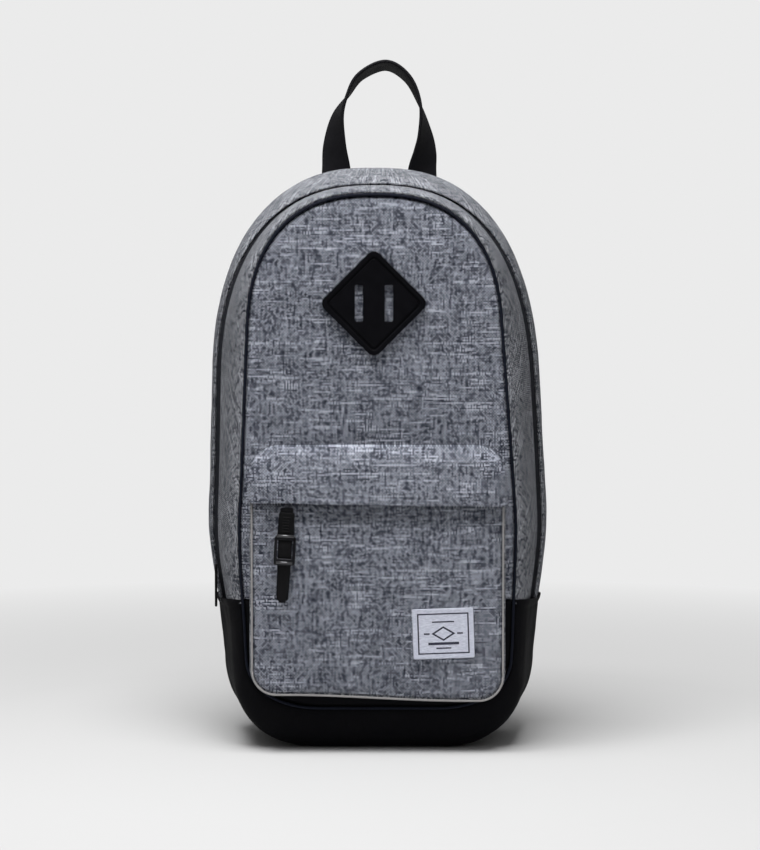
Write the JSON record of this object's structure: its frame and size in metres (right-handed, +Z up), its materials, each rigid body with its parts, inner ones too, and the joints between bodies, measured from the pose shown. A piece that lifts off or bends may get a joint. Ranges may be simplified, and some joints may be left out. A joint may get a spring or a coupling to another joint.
{
  "type": "sling bag",
  "caption": "Small one-strap sling bag with an arched zip front, hooded zip pocket, rubber lash tab, carry loop and adjustable padded strap.",
  "frame": {"origin": "middle of the flat under the base, on the ground", "axes": "+Z up, the front with the pocket faces -Y, +X to the right as seen from the front"},
  "size_m": [0.1964, 0.1682, 0.3893],
  "materials": {
    "crosshatch_front": "heathered grey crosshatch weave, matt",
    "crosshatch_side": "the same weave with its grain on the slant, matt",
    "black_canvas": "black woven fabric, matt",
    "piping": "dark seam binding",
    "lining": "plain grey lining",
    "zip_tape": "black woven zip tape",
    "zip_teeth": "black nylon coil",
    "spacer_mesh": "black spacer mesh over foam",
    "foam": "closed-cell foam",
    "board": "plastic board",
    "webbing": "black woven webbing",
    "rubber": "matt black rubber",
    "woven_label": "white woven label with a navy border",
    "black_metal": "black painted metal",
    "pull_strap": "black ribbed strap",
    "strap_pad": "black padded strap cover",
    "buckle_plastic": "black acetal"
  },
  "bodies": {
    "bag": {"base_gusset": "black_canvas", "base_board": "board", "back_gusset": "crosshatch_side", "back_panel": "black_canvas", "back_piping": "piping", "back_pad": "spacer_mesh", "back_foam": "foam", "liner_back": "lining", "liner_back_side": "lining", "liner_base": "lining", "back_zip_tape": "zip_tape", "back_zip_teeth": "zip_teeth", "haul_patch": "black_canvas", "strap_top_tab": "webbing", "strap_corner_tab": "webbing"},
    "front": {"front_panel": "crosshatch_front", "front_base_panel": "black_canvas", "front_piping": "piping", "front_gusset": "crosshatch_side", "front_zip_tape": "zip_tape", "front_zip_teeth": "zip_teeth", "liner_front": "lining", "liner_front_side": "lining", "diamond_tab": "rubber", "pocket_front": "crosshatch_front", "pocket_gusset": "crosshatch_side", "pocket_hood": "crosshatch_front", "pocket_zip_tape_upper": "zip_tape", "pocket_zip_tape_lower": "zip_tape", "pocket_zip_teeth_upper": "zip_teeth", "pocket_zip_teeth_lower": "zip_teeth", "woven_label": "woven_label"},
    "pocket_slider": {"pocket_slider": "black_metal"},
    "pocket_pull": {"pocket_pull_tab": "pull_strap", "pocket_pull_buckle": "black_metal", "pocket_pull_tail": "pull_strap"},
    "main_slider": {"main_slider": "black_metal"},
    "main_pull": {"main_pull": "pull_strap"},
    "haul": {"haul_loop": "webbing"},
    "strap": {"strap_pad": "strap_pad", "strap_webbing_top": "webbing", "strap_webbing": "webbing"},
    "adjuster": {"strap_adjuster": "buckle_plastic"}
  },
  "joints": [
    {"name": "front_open", "type": "hinge", "parent": "bag", "child": "front", "pos_m": [0, -0.04, 0.024], "axis": [1, 0, 0], "range_deg": [0, 20]},
    {"name": "pocket_zip", "type": "slide", "parent": "front", "child": "pocket_slider", "axis": [1, 0, 0], "range_m": [0, 0.108]},
    {"name": "pocket_pull_swing", "type": "hinge", "parent": "pocket_slider", "child": "pocket_pull", "pos_m": [-0.0505, -0.0599, 0.1366], "axis": [-1, 0, 0], "range_deg": [0, 75]},
    {"name": "main_zip", "type": "slide", "parent": "bag", "child": "main_slider", "axis": [-0.0372, 0, 0.9993], "range_m": [0, 0.083]},
    {"name": "main_pull_swing", "type": "hinge", "parent": "main_slider", "child": "main_pull", "pos_m": [-0.0909, 0, 0.1015], "axis": [0, 1, 0], "range_deg": [0, 80]},
    {"name": "haul_swing", "type": "hinge", "parent": "bag", "child": "haul", "pos_m": [0, 0.044, 0.3285], "axis": [1, 0, 0], "range_deg": [-60, 60], "stiffness_Nm_per_rad": 0.03},
    {"name": "strap_swing", "type": "hinge", "parent": "bag", "child": "strap", "pos_m": [0, 0.05, 0.298], "axis": [-0.2319, 0.0094, -0.9727], "range_deg": [-25, 25]},
    {"name": "strap_adjust", "type": "slide", "parent": "strap", "child": "adjuster", "axis": [-0.4082, -0.4082, -0.8165], "range_m": [0, 0.028]}
  ]
}
